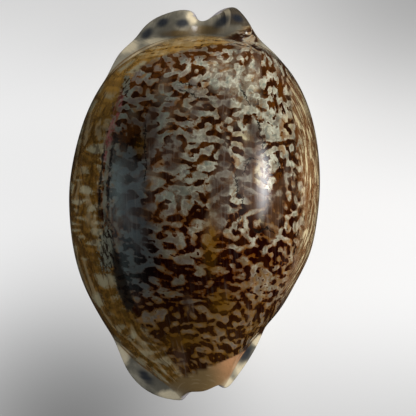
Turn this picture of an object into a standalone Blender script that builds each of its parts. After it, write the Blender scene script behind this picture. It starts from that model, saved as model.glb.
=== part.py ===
"""A cowrie shell, 71 mm long, lying on its base: one hollow piece with a toothed slit underneath.

The wall is one sheet, curled round the long axis until its two edges, the lips, nearly meet.
Each row of points is a section across the axis: the outside from the right lip over the back to
the left lip, round that lip, the inside on the way back, and round the right lip. At both ends
the rows close onto the rim of the canal there.

+Z is up and +Y runs to the broad end, where the spire is buried. -X is the side of the outer lip.
"""

import math

import bmesh
import bpy
import numpy as np

MM = 0.001

# How finely the solid is cut into facets.
BASE_SHARES = (0.0, 0.012, 0.026, 0.045, 0.07, 0.105)
BACK_POINTS = 25
LIP_POINTS = 3
END_ROWS = 7
MERGE = 0.00001

# The back of the shell, in mm. Half widths run from the middle line, and heights from the ground.
BACK_HALF_WIDTH = 22.5
BACK_HEIGHT = 35.3
BACK_END = 30.1
BACK_LEFT_ROUNDNESS = 2.2
BACK_RIGHT_ROUNDNESS = 2.72
BACK_TOP_ROUNDNESS = 2.4
BACK_CROWN = 2.15
BACK_LEFT = (
    (-36, 3.6), (-33, 6.0), (-30, 9.2), (-27.5, 11.8), (-25, 14.0), (-20, 17.3), (-15, 19.8),
    (-9.5, 21.5), (-4, 22.3), (2, BACK_HALF_WIDTH), (9, 22.1), (15, 21.8), (21, 21.7), (31, 22.0),
)
BACK_RIGHT = (
    (-36, 5.0), (-33, 5.9), (-30, 7.0), (-27.5, 8.3), (-25, 10.1), (-22.8, 12.0), (-20, 14.5),
    (-15, 17.6), (-9.5, 20.3), (-4, 21.6), (2, 22.2), (9, 22.3), (20, 22.3), (31, 22.3),
)
BACK_TOP = (
    (-36, 7.6), (-33, 9.9), (-30, 13.4), (-26, 18.4), (-20, 25.2), (-13, 31.0), (-5, 34.4),
    (3, BACK_HEIGHT), (12, BACK_HEIGHT), (31, BACK_HEIGHT),
)

# The callus: a low brim that grows out past the back at both ends.
BRIM_LEFT = (
    (-36, 10.6), (-33, 11.4), (-29, 12.9), (-25, 14.4), (-20, 16.2), (-10, 19.4), (5, 20.2),
    (14, 19.0), (18, 17.6), (22.8, 15.7), (25.5, 14.5), (27.3, 13.3), (29.4, 11.1), (32, 9.3),
    (36, 8.0),
)
BRIM_RIGHT = (
    (-36, 6.8), (-33, 7.4), (-30, 8.6), (-28, 9.8), (-25.4, 11.2), (-23.5, 12.0), (-20, 13.1),
    (-10, 18.0), (5, 20.0), (17, 18.2), (24, 15.9), (27, 14.0), (29.6, 11.2), (32, 9.8), (36, 8.5),
)
BRIM_TOP = (
    (-36, 2.4), (-30, 2.9), (-25, 2.9), (-18, 2.0), (5, 1.6), (18, 2.2), (25, 3.4), (30, 4.4),
    (36, 4.6),
)
BRIM_CROWN = 2.2
SHARPEST_CREASE = 0.1
CREASE = 0.9

# The middle line of the slit, which is also the axis that each section is drawn round.
AXIS_X = (
    (-36, 1.7), (-30, 0.9), (-20, -1.1), (-8, -2.4), (6, -2.7), (17, -1.9), (25, -0.3), (31, 1.0),
    (36, 1.6),
)
AXIS_Z = (
    (-36, 4.8), (-31, 5.8), (-24, 8.6), (-14, 11.4), (0, 12.6), (10, 12.4), (20, 10.2),
    (27, 7.2), (31, 5.9), (36, 5.4),
)
BASE_Z = (
    (-36, 2.6), (-31, 1.1), (-25, 0.1), (-18, -0.35), (0, -0.45), (18, -0.35), (25, 0.1),
    (31, 1.3), (36, 3.0),
)
BASE_CROWN = 3.3

# How gradually an oval's four quarters turn into one another, as shares of its radius.
SIDE_BLEND, HEIGHT_BLEND, CROWN_BLEND = (-0.35, 0.35), (-0.3, 0.3), (-0.35, 0.25)
BASE_CREASE = (-0.5, 0.1)

# The slit and its teeth.
SLIT_HALF_WIDTH = (
    (-36, 2.0), (-30, 1.9), (-20, 1.5), (0, 1.15), (20, 1.15), (30, 1.5), (36, 1.7),
)
LIP_HALF_THICKNESS = (
    (-36, 1.0), (-30, 1.4), (-20, 2.2), (0, 2.5), (20, 2.4), (28, 1.7), (36, 1.1),
)
LIP_REACH = 1.24
TOOTH_PITCH = 2.05
TOOTH_HEIGHT = 0.75
TOOTH_SPREAD = 0.03
TEETH_FROM, TEETH_TO = -30.0, 28.0
TEETH_FADE = 3.0
TOOTH_ROUNDNESS = 0.7

# The hollow inside.
BACK_WALL = 1.5
SIDE_WALL = 2.7
HOLLOW_SHORTENING = 1.06
CANAL_RADIUS = 2.1
CANAL_BLEND = 0.5
SMALLEST = 0.05

# Swellings on the broad end: (angle round the axis, place along it, spreads of both, height).
LEFT_LOBE = (128.0, 32.0, 26.0, 3.6, 2.7)
RIGHT_LOBE = (42.0, 32.8, 22.0, 3.4, 3.2)
SPIRE = (38.0, 29.6, 22.0, 2.4, 2.6)

# The rims of the two canals: (angle round the axis, distance from it, place along it, sharpness).
BROAD_RIM = (
    (-40, 2.8, 32.2, 2.0), (-15, 4.2, 33.8, 2.0), (20, 5.6, 35.2, 2.2), (50, 5.4, 34.4, 2.4),
    (70, 4.7, 33.2, 2.6), (90, 4.0, 32.6, 3.0), (108, 4.0, 33.2, 3.0), (124, 4.1, 34.3, 2.8),
    (142, 4.4, 34.7, 2.4), (170, 4.2, 34.4, 2.2), (198, 3.6, 33.6, 2.0), (220, 2.8, 32.2, 2.0),
)
NARROW_RIM = (
    (-40, 3.0, -31.0, 2.0), (-15, 3.6, -32.6, 2.0), (15, 4.0, -33.5, 2.2), (45, 4.3, -32.9, 3.0),
    (68, 4.5, -33.3, 3.6), (90, 4.6, -33.9, 4.0), (130, 4.9, -34.3, 3.4), (160, 4.8, -35.6, 2.4),
    (185, 4.3, -35.5, 2.2), (205, 3.6, -34.0, 2.0), (220, 3.0, -32.0, 2.0),
)
CREASE_PLACES = (29.3, 29.75, 30.1, 30.5)
NARROW_ROWS_START = -28.8

# From the point that the measures above start from to the middle of the shell's box.
MIDDLE = (-0.14, -0.29, 0.0)


def curve_through(points, place):
    """A smooth curve through (place, value) points, read at the places given."""
    x, value = np.array(points, float).T
    gap = np.diff(x)
    last = len(x) - 1
    matrix = np.eye(last + 1)
    right = np.zeros(last + 1)
    for k in range(1, last):
        matrix[k, k - 1 : k + 2] = gap[k - 1], 2 * (gap[k - 1] + gap[k]), gap[k]
        right[k] = 6 * ((value[k + 1] - value[k]) / gap[k] - (value[k] - value[k - 1]) / gap[k - 1])
    bend = np.linalg.solve(matrix, right)
    place = np.clip(place, x[0], x[-1])
    k = np.clip(np.searchsorted(x, place) - 1, 0, last - 1)
    a = (x[k + 1] - place) / gap[k]
    b = 1 - a
    curved = (a**3 - a) * bend[k] + (b**3 - b) * bend[k + 1]
    return a * value[k] + b * value[k + 1] + curved * gap[k] ** 2 / 6


def smooth_step(value, low, high):
    """0 below low, 1 above high, and a smooth rise between."""
    t = np.clip((value - low) / (high - low), 0, 1)
    return t * t * (3 - 2 * t)


def larger(a, b, blend):
    """The larger of two radii, with the corner between them rounded."""
    return 0.5 * (a + b + np.sqrt((a - b) ** 2 + blend**2))


def closing(y, roundness):
    """1 along most of the back, falling to 0 at its broad end as a rounded arc does."""
    share = np.clip(y / BACK_END, 0, 1)
    return (1 - share**roundness) ** (1 / roundness)


def oval_radius(angle, left, right, up, down, crown):
    """Distance from the axis to an oval with its own half width and height in each quarter."""
    across, upward = np.cos(angle), np.sin(angle)
    width = left + (right - left) * smooth_step(across, *SIDE_BLEND)
    height = down + (up - down) * smooth_step(upward, *HEIGHT_BLEND)
    power = BASE_CROWN + (crown - BASE_CROWN) * smooth_step(upward, *CROWN_BLEND)
    return ((np.abs(across) / width) ** power + (np.abs(upward) / height) ** power) ** (-1 / power)


def swelling(angle, y, bump):
    """Height of a rounded swelling on the surface."""
    at_angle, at_y, angle_spread, y_spread, height = bump
    turn = (np.degrees(angle) - at_angle) / angle_spread
    return height * np.exp(-(turn**2) - ((y - at_y) / y_spread) ** 2)


def back_radius(angle, y, inset_side=0.0, inset_top=0.0, inset_base=0.0):
    """Distance from the axis to the domed back, or to the hollow that far inside it."""
    axis_x, axis_z = curve_through(AXIS_X, y), curve_through(AXIS_Z, y)
    left = (curve_through(BACK_LEFT, y) + axis_x) * closing(y, BACK_LEFT_ROUNDNESS) - inset_side
    right = (curve_through(BACK_RIGHT, y) - axis_x) * closing(y, BACK_RIGHT_ROUNDNESS) - inset_side
    up = (curve_through(BACK_TOP, y) - axis_z) * closing(y, BACK_TOP_ROUNDNESS) - inset_top
    down = axis_z - curve_through(BASE_Z, y) - inset_base
    sizes = [np.maximum(size, SMALLEST) for size in (left, right, up, down)]
    return oval_radius(angle, *sizes, BACK_CROWN)


def brim_radius(angle, y):
    """Distance from the axis to the callus, with the lobes and the buried spire at the broad end."""
    axis_x, axis_z = curve_through(AXIS_X, y), curve_through(AXIS_Z, y)
    left = curve_through(BRIM_LEFT, y) + axis_x
    right = curve_through(BRIM_RIGHT, y) - axis_x
    down = axis_z - curve_through(BASE_Z, y)
    radius = oval_radius(angle, left, right, curve_through(BRIM_TOP, y), down, BRIM_CROWN)
    return radius + sum(swelling(angle, y, bump) for bump in (LEFT_LOBE, RIGHT_LOBE, SPIRE))


def outside_radius(angle, y):
    """Distance from the axis to the outside of the shell."""
    blend = SHARPEST_CREASE + (CREASE - SHARPEST_CREASE) * smooth_step(np.sin(angle), *BASE_CREASE)
    return larger(back_radius(angle, y), brim_radius(angle, y), blend)


def inside_radius(angle, y):
    """Distance from the axis to the hollow, which narrows to a canal at both ends."""
    stretched = np.where(y > 0, y * HOLLOW_SHORTENING, y)
    floor = 2 * curve_through(LIP_HALF_THICKNESS, y)
    hollow = back_radius(angle, stretched, SIDE_WALL, BACK_WALL, floor)
    return larger(hollow, CANAL_RADIUS, CANAL_BLEND)


def tooth(y, side):
    """1 on the crest of a tooth and 0 in the groove between two; the lips' teeth alternate."""
    crest = 0.5 + 0.5 * side * np.cos(2 * math.pi * y / TOOTH_PITCH)
    reach = smooth_step(y, TEETH_FROM, TEETH_FROM + TEETH_FADE)
    reach = reach * smooth_step(-y, -TEETH_TO, TEETH_FADE - TEETH_TO)
    return 1 - (1 - crest) * reach


def span_of(y, lip_z):
    """Angle from straight down to where a lip begins, at that height above the axis."""
    reach = curve_through(SLIT_HALF_WIDTH, y) + LIP_REACH * curve_through(LIP_HALF_THICKNESS, y)
    return np.arctan2(reach, curve_through(AXIS_Z, y) - lip_z)


def wall_points(y, share, radius, span):
    """Points (x, z) on a wall, at a share of the way from the right lip over the back."""
    down = -math.pi / 2
    angle = down + span + share * (2 * math.pi - 2 * span)
    reach = radius(angle, y)
    x = curve_through(AXIS_X, y) + reach * np.cos(angle)
    z = curve_through(AXIS_Z, y) + reach * np.sin(angle)
    return x, z


def lip_points(y, turn, outer, inner, side):
    """Points (x, z) round a lip, from the outer wall's end to the inner wall's."""
    edge = curve_through(AXIS_X, y) + side * curve_through(SLIT_HALF_WIDTH, y)
    middle = [(a + b) / 2 for a, b in zip(outer, inner)]
    x = middle[0] + (outer[0] - middle[0]) * np.cos(turn) + (edge - middle[0]) * np.sin(turn)
    z = middle[1] + (outer[1] - middle[1]) * np.cos(turn)
    groove = TOOTH_HEIGHT * (1 - tooth(y, side)) * np.sin(turn) ** TOOTH_ROUNDNESS
    return x + side * groove * np.sin(turn), z + groove * np.cos(turn)


def rim_of(share, rim, y):
    """Where the wall closes at an end: its (x, y, z), and how sharply it gets there."""
    angle, distance, along, sharpness = np.array(rim, float).T
    at = angle[0] + share * (angle[-1] - angle[0])
    reach, end, power = (curve_through(list(zip(angle, v)), at) for v in (distance, along, sharpness))
    x = curve_through(AXIS_X, y) + reach * np.cos(np.radians(at))
    z = curve_through(AXIS_Z, y) + reach * np.sin(np.radians(at))
    return x, end, z, power


def row_places():
    """Places along the shell of the full rows: tooth crests, grooves, and the crease at the back's end."""
    half = TOOTH_PITCH / 2
    first, last = math.ceil(NARROW_ROWS_START / half), math.floor(CREASE_PLACES[0] / half)
    return [half * k for k in range(first, last + 1)] + list(CREASE_PLACES)


def outside_shares():
    """Shares of the way over the outside, closer together by the lips, where the teeth are."""
    first = 2 * BASE_SHARES[-1] - BASE_SHARES[-2]
    back = list(np.linspace(first, 1 - first, BACK_POINTS))
    return list(BASE_SHARES) + back + [1 - share for share in reversed(BASE_SHARES)]


def loop_columns():
    """Each column of a row: its share of the way round, its turn round a lip, and which wall."""
    outside = [(share, 0.0) for share in outside_shares()]
    inside = [(share, math.pi) for share in reversed(outside_shares()[::2])]
    lip = [math.pi * k / (LIP_POINTS + 1) for k in range(1, LIP_POINTS + 1)]
    left_lip = [(1.0, turn) for turn in lip]
    right_lip = [(0.0, turn) for turn in reversed(lip)]
    return outside + left_lip + inside + right_lip + outside[:1]


def shell_row(y, columns):
    """Points (x, z) of one section, with y given for each column."""
    share, turn = np.array(columns).T
    base = curve_through(BASE_Z, y)
    floor = base + 2 * curve_through(LIP_HALF_THICKNESS, y)
    outer = wall_points(y, share, outside_radius, span_of(y, base))
    inner = wall_points(y, share, inside_radius, span_of(y, floor))
    side = np.where(share > 0.5, -1.0, 1.0)
    x, z = lip_points(y, turn, outer, inner, side)
    # Between the teeth, grooves run out a little way over the base.
    on_base = np.where(turn == 0.0, np.exp(-((np.minimum(share, 1 - share) / TOOTH_SPREAD) ** 2)), 0.0)
    z = z + TOOTH_HEIGHT * on_base * (1 - tooth(y, side))
    return x, np.maximum(z, 0.0)


def shell_rows():
    """All points of the shell in mm, as rows of columns of (x, y, z)."""
    columns = loop_columns()
    share = np.array(columns)[:, 0]
    # On the rim, the outside's points fall together with the inside's, which are half as many.
    inside = np.array(outside_shares()[::2])
    rim_share = inside[np.argmin(np.abs(share[:, None] - inside), axis=1)]
    rows = []
    for y in row_places():
        place = np.full(len(columns), float(y))
        x, z = shell_row(place, columns)
        rows.append(np.stack([x, place, z], axis=1))
    places = row_places()
    for rim, start, order in ((BROAD_RIM, places[-1], 1), (NARROW_RIM, places[0], -1)):
        ends = []
        for k in range(1, END_ROWS + 1):
            along = math.sin(math.pi / 2 * k / END_ROWS)
            toward = share if k < END_ROWS else rim_share
            _, end, _, power = rim_of(toward, rim, np.full(len(columns), start))
            y = start + (end - start) * along
            rim_x, _, rim_z, _ = rim_of(toward, rim, y)
            open_share = (1 - along**power) ** (1 / power) if k < END_ROWS else 0.0
            x, z = shell_row(y, columns)
            x, z = rim_x + (x - rim_x) * open_share, rim_z + (z - rim_z) * open_share
            ends.append(np.stack([x, y, z], axis=1))
        rows = rows + ends if order == 1 else ends[::-1] + rows
    return np.array(rows) - np.array(MIDDLE)


def make_shell():
    """Wraps a flat grid of faces round the rows of points, and closes it along its seams."""
    rows = shell_rows()
    shell = bmesh.new()
    count, width = rows.shape[:2]
    bmesh.ops.create_grid(shell, x_segments=width - 1, y_segments=count - 1, size=1.0)
    shell.verts.ensure_lookup_table()
    for vertex, point in zip(shell.verts, rows.reshape(-1, 3)):
        vertex.co = point * MM
    bmesh.ops.remove_doubles(shell, verts=shell.verts, dist=MERGE)
    bmesh.ops.recalc_face_normals(shell, faces=shell.faces)
    mesh = bpy.data.meshes.new("cowrie_shell")
    shell.to_mesh(mesh)
    shell.free()
    mesh.shade_smooth()
    return mesh


def shell_material():
    """Brown and cream porcelain, as the shell's glaze is from a distance."""
    material = bpy.data.materials.new("mottled_glaze")
    material.use_nodes = True
    surface = material.node_tree.nodes["Principled BSDF"]
    surface.inputs["Base Color"].default_value = (0.22, 0.13, 0.06, 1.0)
    surface.inputs["Roughness"].default_value = 0.15
    surface.inputs["Metallic"].default_value = 0.0
    return material


def main():
    for old in list(bpy.data.objects):
        bpy.data.objects.remove(old)
    collection = bpy.data.collections.new("cowrie")
    bpy.context.scene.collection.children.link(collection)
    mesh = make_shell()
    mesh.materials.append(shell_material())
    collection.objects.link(bpy.data.objects.new("cowrie_shell", mesh))


main()
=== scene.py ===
"""A netted cowrie shell, as a Blender add-on that is run as a script.

The shell is one sheet, curled round its long axis until its two lips nearly meet underneath. It
follows the solid that it stands for, cut more finely, and its pigment is grown on it.
"""
import math

import bmesh
import bpy
import numpy as np
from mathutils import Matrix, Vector


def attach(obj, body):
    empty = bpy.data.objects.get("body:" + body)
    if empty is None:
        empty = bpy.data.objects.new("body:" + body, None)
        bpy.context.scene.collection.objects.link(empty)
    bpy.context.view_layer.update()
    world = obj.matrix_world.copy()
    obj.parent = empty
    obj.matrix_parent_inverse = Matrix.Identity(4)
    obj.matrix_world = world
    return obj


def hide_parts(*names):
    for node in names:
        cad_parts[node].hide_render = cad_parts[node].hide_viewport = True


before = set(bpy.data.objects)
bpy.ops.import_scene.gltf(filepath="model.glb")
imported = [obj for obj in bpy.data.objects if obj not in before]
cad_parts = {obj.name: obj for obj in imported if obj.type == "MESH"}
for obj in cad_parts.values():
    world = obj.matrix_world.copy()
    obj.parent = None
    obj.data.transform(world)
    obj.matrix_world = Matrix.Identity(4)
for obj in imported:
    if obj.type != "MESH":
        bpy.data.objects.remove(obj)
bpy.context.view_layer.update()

bl_info = {
    "name": "Cowrie shell",
    "version": (1, 0, 0),
    "blender": (4, 5, 0),
    "location": "View3D > Sidebar > Cowrie",
    "description": "Builds a glossy netted cowrie shell with a toothed slit, and a stage for it",
    "category": "Object",
}

MM = 0.001

# How finely the surface is cut. Shares run from the right lip (0) over the back to the left (1).
LIP_ZONE, BASE_ZONE, BRIM_ZONE = 0.045, 0.105, 0.15
LIP_STEPS, BASE_STEPS, BRIM_STEPS, BACK_STEPS = 11, 7, 10, 262
ROUND_LIP_POINTS = 7
INSIDE_EVERY = 6
FULL_ROWS = 228
END_ROWS = 11
# How many places the full rows are picked from, how much of the ridge's rise counts in the picking,
# and the ridge's crease in mm.
RIDGE_SAMPLES, RISE_COUNTS, RIDGE_CREASE = 4000, 0.7, 0.5
# Points nearer one another than this become one, in metres.
MERGE = 0.000002
# How many rows the edge of each margin is evened out over.
EDGE_ROWS = 15
# The shares nearer a lip than this lie under the shell's widest part.
UNDER_SIDE = 0.14
# Stands for further than anything on the shell, in mm.
FAR = 99.0

# The back of the shell, in mm. Half widths run from the middle line, and heights from the ground.
BACK_HALF_WIDTH = 22.5
BACK_HEIGHT = 35.3
BACK_END = 30.1
BACK_LEFT_ROUNDNESS = 2.2
BACK_RIGHT_ROUNDNESS = 2.72
BACK_TOP_ROUNDNESS = 2.4
BACK_CROWN = 2.15
BACK_LEFT = (
    (-36, 3.6), (-33, 6.0), (-30, 9.2), (-27.5, 11.8), (-25, 14.0), (-20, 17.3), (-15, 19.8),
    (-9.5, 21.5), (-4, 22.3), (2, BACK_HALF_WIDTH), (9, 22.1), (15, 21.8), (21, 21.7), (31, 22.0),
)
BACK_RIGHT = (
    (-36, 5.0), (-33, 5.9), (-30, 7.0), (-27.5, 8.3), (-25, 10.1), (-22.8, 12.0), (-20, 14.5),
    (-15, 17.6), (-9.5, 20.3), (-4, 21.6), (2, 22.2), (9, 22.3), (20, 22.3), (31, 22.3),
)
BACK_TOP = (
    (-36, 7.6), (-33, 9.9), (-30, 13.4), (-26, 18.4), (-20, 25.2), (-13, 31.0), (-5, 34.4),
    (3, BACK_HEIGHT), (12, BACK_HEIGHT), (31, BACK_HEIGHT),
)

# The callus: a low brim that grows out past the back at both ends.
BRIM_LEFT = (
    (-36, 10.6), (-33, 11.4), (-29, 12.9), (-25, 14.4), (-20, 16.2), (-10, 19.4), (5, 20.2),
    (14, 19.0), (18, 17.6), (22.8, 15.7), (25.5, 14.5), (27.3, 13.3), (29.4, 11.1), (32, 9.3),
    (36, 8.0),
)
BRIM_RIGHT = (
    (-36, 6.8), (-33, 7.4), (-30, 8.6), (-28, 9.8), (-25.4, 11.2), (-23.5, 12.0), (-20, 13.1),
    (-10, 18.0), (5, 20.0), (17, 18.2), (24, 15.9), (27, 14.0), (29.6, 11.2), (32, 9.8), (36, 8.5),
)
BRIM_TOP = (
    (-36, 2.4), (-30, 2.9), (-25, 2.9), (-18, 2.0), (5, 1.6), (18, 2.2), (25, 3.4), (30, 4.4),
    (36, 4.6),
)
BRIM_CROWN = 2.2
SHARPEST_CREASE = 0.1

# The middle line of the slit, which is also the axis that each section is drawn round.
AXIS_X = (
    (-36, 1.7), (-30, 0.9), (-20, -1.1), (-8, -2.4), (6, -2.7), (17, -1.9), (25, -0.3), (31, 1.0),
    (36, 1.6),
)
AXIS_Z = (
    (-36, 4.8), (-31, 5.8), (-24, 8.6), (-14, 11.4), (0, 12.6), (10, 12.4), (20, 10.2),
    (27, 7.2), (31, 5.9), (36, 5.4),
)
BASE_Z = (
    (-36, 2.6), (-31, 1.1), (-25, 0.1), (-18, -0.35), (0, -0.45), (18, -0.35), (25, 0.1),
    (31, 1.3), (36, 3.0),
)
BASE_CROWN = 3.3

# How gradually an oval's four quarters turn into one another, as shares of its radius.
SIDE_BLEND, HEIGHT_BLEND, CROWN_BLEND = (-0.35, 0.35), (-0.3, 0.3), (-0.35, 0.25)
BASE_CREASE = (-0.5, 0.1)

# The slit and its teeth.
SLIT_HALF_WIDTH = (
    (-36, 2.0), (-30, 1.9), (-20, 1.5), (0, 1.15), (20, 1.15), (30, 1.5), (36, 1.7),
)
LIP_HALF_THICKNESS = (
    (-36, 1.0), (-30, 1.4), (-20, 2.2), (0, 2.5), (20, 2.4), (28, 1.7), (36, 1.1),
)
LIP_REACH = 1.24
TOOTH_SPREAD = 0.022
TEETH_FROM, TEETH_TO = -30.0, 28.0
TEETH_FADE = 3.0
TOOTH_ROUNDNESS = 0.7
TOOTH_BREADTH = 1.6
# How far the dark lines between the teeth run out over the base, as a share of the way round.
TOOTH_LINES = 0.028

# The hollow inside.
BACK_WALL = 1.5
SIDE_WALL = 2.7
HOLLOW_SHORTENING = 1.06
CANAL_RADIUS = 2.1
CANAL_BLEND = 0.5
SMALLEST = 0.05

# Swellings on the broad end: (angle round the axis, place along it, spreads of both, height).
LEFT_LOBE = (128.0, 32.0, 26.0, 3.6, 2.7)
RIGHT_LOBE = (42.0, 32.8, 22.0, 3.4, 3.2)
SPIRE = (38.0, 29.6, 22.0, 2.4, 2.6)

# The rims of the two canals: (angle round the axis, distance from it, place along it, sharpness).
BROAD_RIM = (
    (-40, 2.8, 32.2, 2.0), (-15, 4.2, 33.8, 2.0), (20, 5.6, 35.2, 2.2), (50, 5.4, 34.4, 2.4),
    (70, 4.7, 33.2, 2.6), (90, 4.0, 32.6, 3.0), (108, 4.0, 33.2, 3.0), (124, 4.1, 34.3, 2.8),
    (142, 4.4, 34.7, 2.4), (170, 4.2, 34.4, 2.2), (198, 3.6, 33.6, 2.0), (220, 2.8, 32.2, 2.0),
)
NARROW_RIM = (
    (-40, 3.0, -31.0, 2.0), (-15, 3.6, -32.6, 2.0), (15, 4.0, -33.5, 2.2), (45, 4.3, -32.9, 3.0),
    (68, 4.5, -33.3, 3.6), (90, 4.6, -33.9, 4.0), (130, 4.9, -34.3, 3.4), (160, 4.8, -35.6, 2.4),
    (185, 4.3, -35.5, 2.2), (205, 3.6, -34.0, 2.0), (220, 3.0, -32.0, 2.0),
)
BROAD_ROWS_END = 30.5
NARROW_ROWS_START = -28.8
MIDDLE = (-0.14, -0.29, 0.0)

# The mantle line, where the two flaps of the animal met: (place along the shell, x), in mm.
MANTLE_LINE = (
    (-36, 0.0), (-26.4, -5.4), (-23.7, -7.8), (-21, -9.9), (-18.3, -11.7), (-13, -13.8), (-7.6, -15.4),
    (-2.2, -16.5), (4, -16.4), (10.3, -15.6), (15.7, -14.1), (18.3, -13.4), (21, -12.0), (23.4, -9.9),
    (25.5, -6.3), (27.5, -1.0), (29, 5.0), (36, 9.0),
)
# The black wedge beside the mantle line: (place along the shell, x of its left and right sides), in mm.
WEDGE = (
    (-19.5, -11.6, -11.8), (-18.0, -12.6, -10.4), (-15.7, -13.6, -11.2), (-13, -14.2, -12.0),
    (-10.3, -14.4, -12.9), (-7.5, -14.4, -13.9), (-5.5, -14.3, -14.4),
)
# Where the right side's fine golden lines begin.
RIGHT_MARGIN = (
    (-36, 3.0), (-28, 8.4), (-22, 12.0), (-16, 15.8), (-8.5, 18.4), (0, 19.2), (9.5, 18.6),
    (18, 17.4), (24, 15.0), (28, 11.0), (36, 8.0),
)
# A margin's lines are drawn as if it were never narrower than this.
NARROWEST_MARGIN = 5.0
# Between these places along the shell the sides' lines keep their pace; past them it is slower.
FLOW_FROM, FLOW_TO, FLOW_PACE = -10, 16, 0.45
# Where the pattern stops and the canal's bare roof begins: a slanting line, y at x 0 and its slope.
ROOF_EDGE, ROOF_SLOPE = -30.4, 0.42
# Blue-black spots on the lobes and flanges: (x, y, half length, half width, turn in degrees), in mm.
LOBE_SPOTS = (
    (-8.7, 30.4, 1.5, 0.9, 40), (-5.9, 32.3, 1.3, 0.9, 20), (-2.3, 32.1, 1.5, 0.9, 10),
    (4.8, 32.4, 2.0, 1.0, 35), (7.6, 33.0, 1.2, 0.8, -20), (-9.0, -31.4, 1.9, 0.95, -48),
    (8.9, -27.4, 2.2, 1.1, 58),
)
# How suddenly a spot ends.
SPOT_EDGE = 1.3
# Cream, dark brown and olive parts of the callus: (x, y, half width, half length), in mm.
CALLUS_PATCHES = {
    "cream": (
        (8.5, -30.0, 1.6, 2.2), (5.4, -32.8, 2.0, 1.6), (11.2, -24.6, 1.6, 1.5),
        (-13.2, -27.3, 1.6, 2.4), (-4.5, -34.8, 2.8, 1.1), (-0.6, 33.2, 1.2, 1.5),
        (-12.4, 28.2, 2.4, 1.6), (-6.5, 28.9, 3.0, 0.8),
    ),
    "umber": ((7.2, 33.4, 3.4, 2.0), (9.6, 31.4, 1.6, 1.4)),
    "saddle": ((1.8, 30.9, 3.6, 1.0), (-3.0, 30.2, 3.4, 0.7)),
}

# Hair cracks on the back, each as its (x, y) turns, in mm.
CRACKS = (
    ((8.1, 19.6), (8.7, 18.6), (9.4, 17.1)),
    ((10.7, 14.5), (11.2, 13.2), (11.3, 11.7), (12.0, 10.2), (11.7, 9.2), (12.7, 7.1), (12.5, 5.6)),
    ((8.9, 7.3), (9.8, 7.7), (10.7, 7.4)),
    ((8.4, 5.1), (9.1, 6.6)),
    ((7.1, 4.3), (7.4, 2.5), (7.2, 1.5), (8.1, 0.9), (8.3, -0.4), (7.6, -3.0)),
    ((-2.6, 20.8), (-0.8, 20.4), (0.2, 20.1)),
    ((-2.6, 19.5), (-0.8, 18.9), (1.0, 17.8)),
    ((14.5, 7.9), (14.8, 5.3)),
    ((-8.5, 13.0), (-8.7, 9.4), (-8.3, 6.7), (-8.7, 4.0)),
    ((10.0, -4.6), (11.0, -5.2), (12.4, -4.4), (13.6, -5.2)),
)
# How far from a crack its line is looked for, and what stands for far from any crack, in mm.
CRACK_REACH, CRACK_FAR = 0.7, 9.0

# Patches of the back: (x, y, half width, half length), in mm. It has crust, is darker with painted shade,
# has a painted highlight where the key light's reflection falls, turns to slate, has a painted reflection
# of the cool strip light on it, or amber seeps out. The last patches have a milky coat, and one of them a
# painted sheen.
BACK_PATCHES = {
    "crust": ((-15.4, -8.0, 2.0, 6.0), (-12.0, 20.6, 0.9, 2.6)),
    # Painted shade: darker patches on the left, in the middle and below.
    "dim_patch": (
        (-9.0, -8.0, 9.0, 15.0), (-10.0, 12.0, 6.0, 8.0), (-4.0, -15.0, 11.0, 9.0), (-1.0, 2.0, 7.0, 8.0),
    ),
    # Painted highlight: pale patches where the key light's reflection falls on the right of the back.
    "glow": (
        (8.0, 11.0, 1.8, 1.2), (16.2, 13.3, 0.9, 2.2), (11.0, 5.0, 0.9, 2.8), (11.5, -2.8, 0.8, 2.2),
    ),
    # Where strokes turn to slate and the ground to blue grey, which is partly a painted reflection of the
    # cool strip light.
    "slate": ((-11.2, 3.5, 3.4, 7.5), (-9.8, -9.5, 3.8, 7.5)),
    # Painted reflection of the cool strip light along the mantle line.
    "haze": ((-13.9, 2.5, 1.6, 7.5), (-12.2, -10.5, 2.3, 6.0)),
    "honey": (
        (2.6, -8.0, 1.8, 6.5), (4.5, -17.5, 3.0, 3.0), (-3.0, -24.5, 4.0, 2.0), (-9.5, 9.5, 1.2, 2.4),
    ),
}
# The patch right of the middle, at (7.4, 1.5), is a painted sheen: the key light's broad reflection.
VEILED_PATCHES = ((-3.0, 10.0, 6.0, 4.5), (7.4, 1.5, 3.4, 7.5), (3.0, 17.0, 7.0, 2.5))
# Where the strokes are coarser: (distance round to the left, distance along, and half sizes), in mm.
COARSE_PATCHES = ((3.0, -11.0, 14.0, 8.0), (11.0, 4.0, 8.0, 10.0), (0.0, 1.0, 8.0, 6.0))
# How much pigment there is everywhere, and where more or less: (how much, then the place as above).
PIGMENT_LEVEL = -0.08
PIGMENT_PATCHES = (
    (0.25, 3.0, -16.0, 16.0, 11.0), (0.50, 0.0, -28.0, 16.0, 7.0), (-0.30, -12.0, -14.0, 6.0, 9.0),
    (0.45, 15.0, -2.0, 6.0, 14.0), (-0.12, -8.0, 20.0, 14.0, 10.0),
)

# On the steep ends, so far along and more, the pattern is drawn out: its pace there.
STEEP_FROM, STEEP_PACE = 20.0, 0.6
# The sheet that pigment is grown on, in mm: its step, and how many rows and columns it has.
SHEET_STEP = 0.15
SHEET_SHAPE = (720, 840)
# Strokes grow to these lengths and widths, with a turn in degrees: across the shell, lengthwise,
# climbing to the right, climbing to the left, and any way.
STROKE_SIZES = ((0.36, 0.33, 0), (0.40, 0.29, 90), (0.42, 0.27, -25), (0.42, 0.27, 25), (0.33, 0.33, 0))
# How much further the pale round a stroke reaches, lengthwise and across.
STROKE_SPREAD = (1.7, 2.0)
STROKE_STEPS = 5
# How strong the noise is that strokes begin from, how sharply they part, and their blur in mm.
STROKE_START, STROKE_CONTRAST, STROKE_BLUR = 0.3, 5.0, 0.08
# Clouds that make the strokes uneven: (strength, sizes of the clouds round and along in mm).
STROKE_CLOUDS = ((0.25, 2.0, 1.4), (0.55, 0.56, 0.50))
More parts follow.
